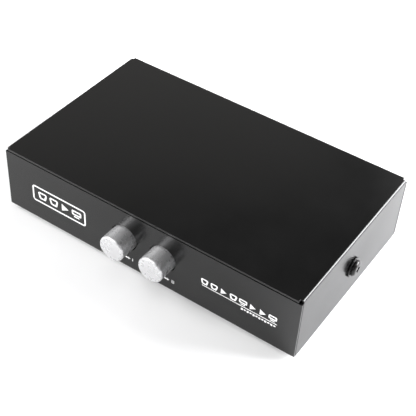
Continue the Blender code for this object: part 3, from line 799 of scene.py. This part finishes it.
def make_insulator(port, x, z):
    node = f"{port}_insulator"
    low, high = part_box(node)
    shell_low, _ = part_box(f"{port}_shell")
    body = block(f"{port}_body", (low.x, high.x), (low.y, shell_low.y - GAP), (low.z, high.z))
    nose = outlined(f"{port}_nose", [socket_outline(-SHELL_T - GAP)], (low.y + MM, high.y), (x, z))
    join(body, nose)
    soften(body, INSULATOR_EDGE, 60, 3)
    body = baked(body)
    contacts = []
    for number, (across, up) in enumerate(pin_places()):
        at = (x + across, high.y - PIN_HOLE_L, z + up)
        profile = [
            (0, PIN_HOLE_L + MM),
            (PIN_HOLE_R + PIN_FUNNEL, PIN_HOLE_L + MM),
            (PIN_HOLE_R + PIN_FUNNEL / 2, PIN_HOLE_L),
            (PIN_HOLE_R, PIN_HOLE_L - PIN_FUNNEL),
            (PIN_HOLE_R, 0),
            (0, 0),
        ]
        hole = turned(f"{port}_hole_{number}", profile, at, "rear", 20)
        cut(body, baked(hole))
        sleeve = PIN_HOLE_R - CONTACT_ROOM
        bore = sleeve - CONTACT_T
        foot, tall = CONTACT_ENDS[0], PIN_HOLE_L - CONTACT_ENDS[1]
        tube = [(sleeve, tall), (sleeve, foot), (bore, foot), (bore, tall)]
        contacts.append(baked(turned(f"{port}_contact_{number}", tube, at, "rear", 16, True)))
    finish(baked(body), node, BLUE)
    finish(merged(f"{port}_contacts", contacts), None, BRASS)


def merged(name, pieces):
    """Several separate meshes as one object."""
    shape = bmesh.new()
    for piece in pieces:
        shape.from_mesh(piece.data)
    for piece in pieces:
        bpy.data.objects.remove(piece, do_unlink=True)
    return from_bmesh(name, shape)


def make_jackscrew(port, side):
    node = f"{port}_{side}_jackscrew"
    low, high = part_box(node)
    x, z = (low.x + high.x) / 2, (low.z + high.z) / 2
    start = REAR + GAP
    length = high.y - start
    corner_r = JACK_AF / math.sqrt(3)
    chamfer = (corner_r - JACK_AF / 2) * JACK_CHAMFER
    flat = corner_r - chamfer
    lean = chamfer / math.tan(math.radians(JACK_CHAMFER_DEG))
    jack = rod(f"{node}_hex", corner_r, length, (x, start, z), "rear", 6)
    ends = [(flat, length), (corner_r, length - lean), (corner_r, lean), (flat, 0)]
    envelope = turned(f"{node}_turned", [(0, length), *ends, (0, 0)], (x, start, z), "rear", 72)
    combine(jack, baked(envelope), "INTERSECT")
    jack = baked(jack)
    bore_r = JACK_BORE_R + FINE_THREAD_DEPTH
    wall = thread(bore_r, FINE_THREAD_DEPTH, FINE_THREAD_PITCH, length, JACK_BORE_L)
    mouth = JACK_BORE_R + 2 * FINE_THREAD_DEPTH
    bore = [(0, length + MM), (mouth, length + MM), (mouth, length), *wall]
    bore += [(JACK_BORE_R, length - JACK_BORE_L), (0, length - JACK_BORE_L)]
    cut(jack, baked(turned(f"{node}_bore", bore, (x, start, z), "rear", 40)))
    reach = start - low.y
    stud = [(0, SHEET), (STUD_R, SHEET), (STUD_R, 0)]
    stud += thread(STUD_R, FINE_THREAD_DEPTH, FINE_THREAD_PITCH, 0, reach - FINE_THREAD_PITCH)
    stud += [(STUD_R - FINE_THREAD_DEPTH, -reach), (0, -reach)]
    join(jack, baked(turned(f"{node}_stud", stud, (x, start, z), "rear", 40)))
    finish(baked(jack), node, NICKEL, angle=30)


def make_ports():
    for port in PORTS:
        place = middle(f"{port}_shell")
        make_shell(port, place.x, place.z)
        make_insulator(port, place.x, place.z)
        for side, _ in SIDES:
            make_jackscrew(port, side)


# ---------------------------------------------------------------- springs


def make_spring(name, node, axis, wire_r):
    """A compression spring whose end turns lie flat."""
    low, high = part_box(node)
    span = (high - low)[axis]
    others = [i for i in range(3) if i != axis]
    radius = (high - low)[others[1]] / 2 - wire_r
    centre = (low + high) / 2
    turns, per_turn, ends = SPRING_TURNS, 28, 1.0
    coil = bpy.data.curves.new(name, "CURVE")
    coil.dimensions = "3D"
    coil.bevel_depth = wire_r
    coil.bevel_resolution = 3
    coil.use_fill_caps = True
    count = round((turns + ends) * per_turn)
    path = coil.splines.new("POLY")
    path.points.add(count)
    flat = 2.2 * wire_r
    for i, point in enumerate(path.points):
        turn = i / per_turn
        share = min(max((turn - ends / 2) / turns, 0), 1)
        lead_in = min(turn / (ends / 2), 1)
        lead_out = min(max(turn - turns - ends / 2, 0) / (ends / 2), 1)
        rise = wire_r + (span - 2 * wire_r - flat) * share + flat / 2 * (lead_in + lead_out)
        place = [0.0, 0.0, 0.0]
        place[axis] = low[axis] + rise
        place[others[0]] = centre[others[0]] + radius * math.cos(math.tau * turn)
        place[others[1]] = centre[others[1]] + radius * math.sin(math.tau * turn)
        point.co = (*place, 1)
    piece = finish(baked(add(name, coil)), node, STEEL)
    anchor = list(centre)
    anchor[axis] = high[axis]
    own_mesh(piece)


# ---------------------------------------------------------------- printed marks


def panel_place(x, z):
    return x - SIDE, z + BASE


def printed(name, shapes):
    """Ink on the front panel: each shape is a list of closed loops, x from the left and z from below."""
    made = []
    for number, loops in enumerate(shapes):
        placed = [[panel_place(x, z) for x, z in loop] for loop in loops]
        made.append(outlined(f"{name}_{number}", placed, (FRONT - INK, FRONT + INK / 2)))
    finish(merged(name, made), None, INK_WHITE)


def line(left, right, low, high):
    return [[(left, low), (right, low), (right, high), (left, high)]]


def frame_of(left, right, low, high, thick, radius):
    outer = box_outline(left, right, low, high, radius)
    inner_r = max(radius - thick, 0.1 * MM)
    return [outer, box_outline(left + thick, right - thick, low + thick, high - thick, inner_r)]


def socket_sign(left, right, low, high, thick):
    """The outline of a D-shaped socket, long side up."""
    lean = 0.22 * (high - low)
    outer = ((left + lean, low), (right - lean, low), (right, high), (left, high))
    inset = 1.15 * thick
    inner = (
        (left + lean + inset, low + thick),
        (right - lean - inset, low + thick),
        (right - inset, high - thick),
        (left + inset, high - thick),
    )
    return [rounded(outer, 1.1 * thick), rounded(inner, 0.4 * thick)]


def arrow_sign(left, right, low, high):
    return [[(left, low), (right, (low + high) / 2), (left, high)]]


def screen_sign(left, right, low, high, thick):
    """A screen on its foot."""
    panel = frame_of(left, right, low + 1.3 * thick, high, thick, 0.8 * thick)
    centre, foot = (left + right) / 2, 0.28 * (right - left)
    return [panel, line(centre - foot, centre + foot, low, low + 0.75 * thick)]


def sign_row(left, right, low, high, kinds, thick, gap):
    """Signs of equal width side by side: s for a socket, a for an arrow and d for a screen."""
    wide = (right - left + gap) / len(kinds) - gap
    shapes = []
    for place, kind in enumerate(kinds):
        start = left + place * (wide + gap)
        if kind == "s":
            shapes.append(socket_sign(start, start + wide, low, high, thick))
        elif kind == "a":
            shapes.append(arrow_sign(start + 0.15 * wide, start + 0.85 * wide, low, high))
        else:
            shapes += screen_sign(start, start + wide, low, high, thick)
    return shapes


def make_badge():
    """Two sockets, an arrow and a screen, in a rounded frame."""
    printed("badge_frame", [frame_of(*BADGE, BADGE_LINE, BADGE_R)])
    printed("badge_signs", sign_row(*BADGE_SIGNS, "ssad", BADGE_STROKE, BADGE_GAP))


def digit_one(left, low, high, stroke):
    return [line(left, left + stroke, low, high)]


def digit_two(left, low, high, stroke):
    """Three level strokes and two upright ones."""
    right, half = left + DIGIT_W, (low + high) / 2
    levels = (low, half - stroke / 2, high - stroke)
    shapes = [line(left, right, bottom, bottom + stroke) for bottom in levels]
    shapes.append(line(right - stroke, right, half, high))
    shapes.append(line(left, left + stroke, low, half))
    return shapes


def make_numbers():
    """A small arrow and the input's number beside each button."""
    low, high = NUMBER_Z
    for number, x in enumerate(NUMBER_X, 1):
        digit = (digit_one, digit_two)[number - 1]
        shapes = [line(x, x + NUMBER_STEM, low + NUMBER_STEM_INSET, high - NUMBER_STEM_INSET)]
        shapes.append(arrow_sign(x + NUMBER_HEAD[0], x + NUMBER_HEAD[1], low, high))
        shapes += digit(x + DIGIT_X, low, high, DIGIT_STROKE)
        printed(f"number_{number}", shapes)


def make_signs():
    """A row of sockets, arrows and screens, a rule under it, and a row of ticks under that."""
    shapes = sign_row(*SIGNS, "ssasdaad", SIGN_STROKE, SIGN_GAP)
    shapes.append(line(*RULE))
    printed("panel_signs", shapes)
    left, right, low, high = TICKS
    step = (right - left) / TICK_COUNT
    lows = (low, low + TICK_SHORT * (high - low))
    ticks = []
    for i in range(TICK_COUNT):
        ticks.append(line(left + i * step, left + (i + TICK_SHARE) * step, lows[i % 2], high))
    printed("panel_ticks", ticks)


# ---------------------------------------------------------------- assembly

make_cover()
make_chassis()
make_case_screws()
make_feet()
make_caps()
make_ports()
for number in (1, 2):
    make_spring(f"press_spring_{number}", f"return_spring_{number}", 1, PRESS_WIRE_R)
make_spring("bar_spring", "latch_spring", 0, LATCH_WIRE_R)
make_badge()
make_numbers()
make_signs()

keep("circuit_board", BOARD, 0.1 * MM)
keep("latch_bracket", STEEL, 0.1 * MM)
keep("latch_bar", STEEL, 0.1 * MM)
for number in (1, 2):
    keep(f"plunger_{number}", WHITE, 0.12 * MM)
    keep(f"moving_contact_{number}", BRONZE, 0.08 * MM)
    keep(f"switch_body_{number}", BLACK, 0.2 * MM)
for end in ("front", "rear"):
    for side, _ in SIDES:
        keep(f"{end}_{side}_board_post", BRASS, 0.1 * MM)
        keep(f"{end}_{side}_board_screw", STEEL, 0.08 * MM)
for port in PORTS:
    keep(f"{port}_back_strap", NICKEL, 0.08 * MM)
    for side, _ in SIDES:
        keep(f"{port}_{side}_nut", NICKEL, 0.1 * MM)

# ---------------------------------------------------------------- studio


def make_floor():
    shape = bmesh.new()
    bmesh.ops.create_grid(shape, x_segments=1, y_segments=1, size=4.0)
    floor = from_bmesh("floor", shape)
    paper = Finish("paper", (0.9, 0.9, 0.9), 0.85)
    paper.vary_colour(paper.noise(40 * MM, 2.0), (0.88, 0.88, 0.885), (0.91, 0.91, 0.91))
    floor.data.materials.append(paper.material)


def softbox(name, direction, distance, size, power, colour=(1, 1, 1)):
    lamp = bpy.data.lights.new(name, "AREA")
    lamp.shape = "RECTANGLE"
    lamp.size, lamp.size_y = size
    lamp.energy = power
    lamp.color = colour
    made = bpy.data.objects.new(name, lamp)
    towards = Vector(direction).normalized()
    made.location = Vector(AIM) + towards * distance
    made.rotation_mode = "QUATERNION"
    made.rotation_quaternion = (-towards).to_track_quat("-Z", "Y")
    bpy.context.scene.collection.objects.link(made)


def make_sky():
    """A plain sky whose brightness depends on the height only."""
    world = bpy.data.worlds.new("studio")
    world.use_nodes = True
    tree = world.node_tree
    place = tree.nodes.new("ShaderNodeTexCoord")
    parts = tree.nodes.new("ShaderNodeSeparateXYZ")
    ramp = tree.nodes.new("ShaderNodeValToRGB")
    stops = ramp.color_ramp.elements
    while len(stops) < len(SKY):
        stops.new(1.0)
    for stop, (height, brightness) in zip(stops, SKY):
        stop.position = height
        stop.color = (brightness, brightness, brightness, 1.0)
    tree.links.new(place.outputs["Generated"], parts.inputs["Vector"])
    tree.links.new(parts.outputs["Z"], ramp.inputs["Fac"])
    tree.links.new(ramp.outputs["Color"], tree.nodes["Background"].inputs["Color"])
    bpy.context.scene.world = world


def make_light():
    make_sky()
    softbox("key", (0.674, 0.627, 0.389), 0.7, (0.6, 0.4), 18.0, (0.98, 0.985, 1.0))
    softbox("fill", (-0.75, -0.5, 0.5), 0.6, (0.4, 0.4), 3.9)
    softbox("front", (-0.2, -1.0, 0.7), 1.0, (0.6, 0.5), 4.4)
    softbox("rear", (0.2, 1.0, 0.5), 0.9, (0.6, 0.5), 1.3)
    softbox("back_left", (-0.6, 0.7, 0.5), 0.9, (0.6, 0.5), 0.3, (1.0, 0.97, 0.93))
    bpy.context.scene.view_settings.view_transform = "Standard"


def make_camera():
    """The reference view: from the right of the front, looking down, with a slight roll."""
    azimuth, elevation, roll = 0.555198, 0.740710, 0.068747
    target, distance = Vector((-0.00191, 0.00899, 0.002)), 0.45137
    back = Vector(
        (
            math.sin(azimuth) * math.cos(elevation),
            -math.cos(azimuth) * math.cos(elevation),
            math.sin(elevation),
        )
    )
    across = Vector((0, 0, 1)).cross(back).normalized()
    up = back.cross(across)
    right = math.cos(roll) * across + math.sin(roll) * up
    top = math.cos(roll) * up - math.sin(roll) * across
    lens = bpy.data.cameras.new("camera")
    lens.lens, lens.sensor_width = 84.8, 36.0
    lens.clip_start, lens.clip_end = 0.01, 20.0
    camera = bpy.data.objects.new("camera", lens)
    rows = Matrix((right, top, back)).transposed().to_4x4()
    rows.translation = target + back * distance
    camera.matrix_world = rows
    bpy.context.scene.collection.objects.link(camera)
    bpy.context.scene.camera = camera


make_floor()
make_light()
make_camera()
